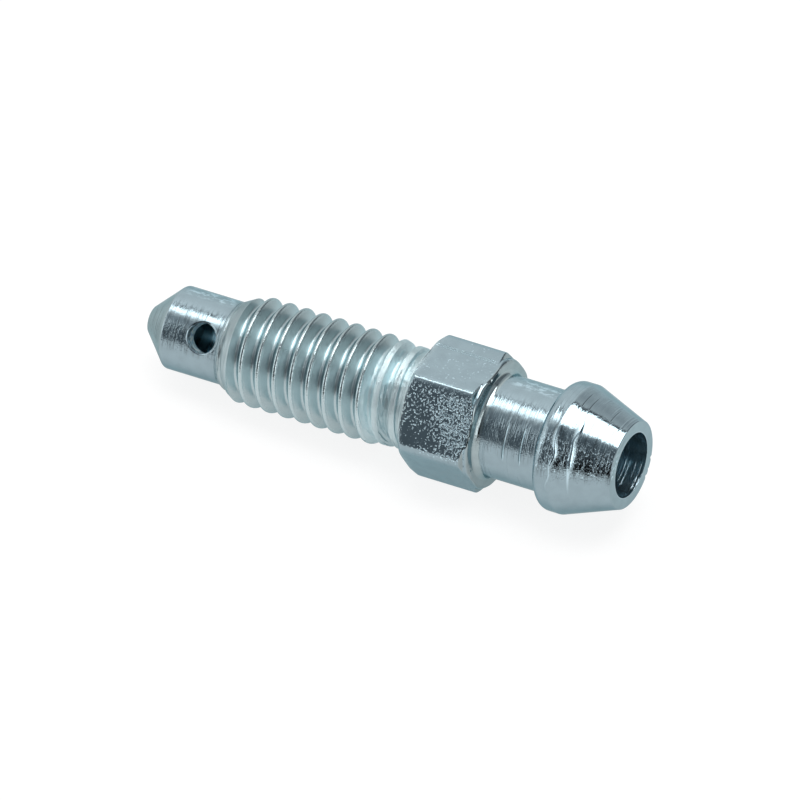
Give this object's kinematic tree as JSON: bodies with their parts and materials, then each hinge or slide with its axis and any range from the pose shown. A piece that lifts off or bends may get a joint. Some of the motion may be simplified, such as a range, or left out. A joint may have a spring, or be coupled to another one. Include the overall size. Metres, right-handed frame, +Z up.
{
  "type": "bleeder screw",
  "caption": "Hydraulic bleeder screw: 90 degree seat cone, cross-drilled nose, M6 x 1 right-hand thread, 7 mm hexagon and a barb for a bleed hose.",
  "frame": {"origin": "middle of the footprint of the box around the screw, on the surface it lies on", "axes": "+X along the screw from its tip to its hose end, 2.7 degrees below the screw's own axis; +Z up, away from the surface it lies on"},
  "size_m": [0.0288, 0.0078, 0.0075],
  "materials": {
    "zinc_plate": "bright blue-white zinc plate on turned steel, with fine turning marks"
  },
  "bodies": {
    "root": {"bleeder_screw": "zinc_plate"}
  },
  "joints": []
}
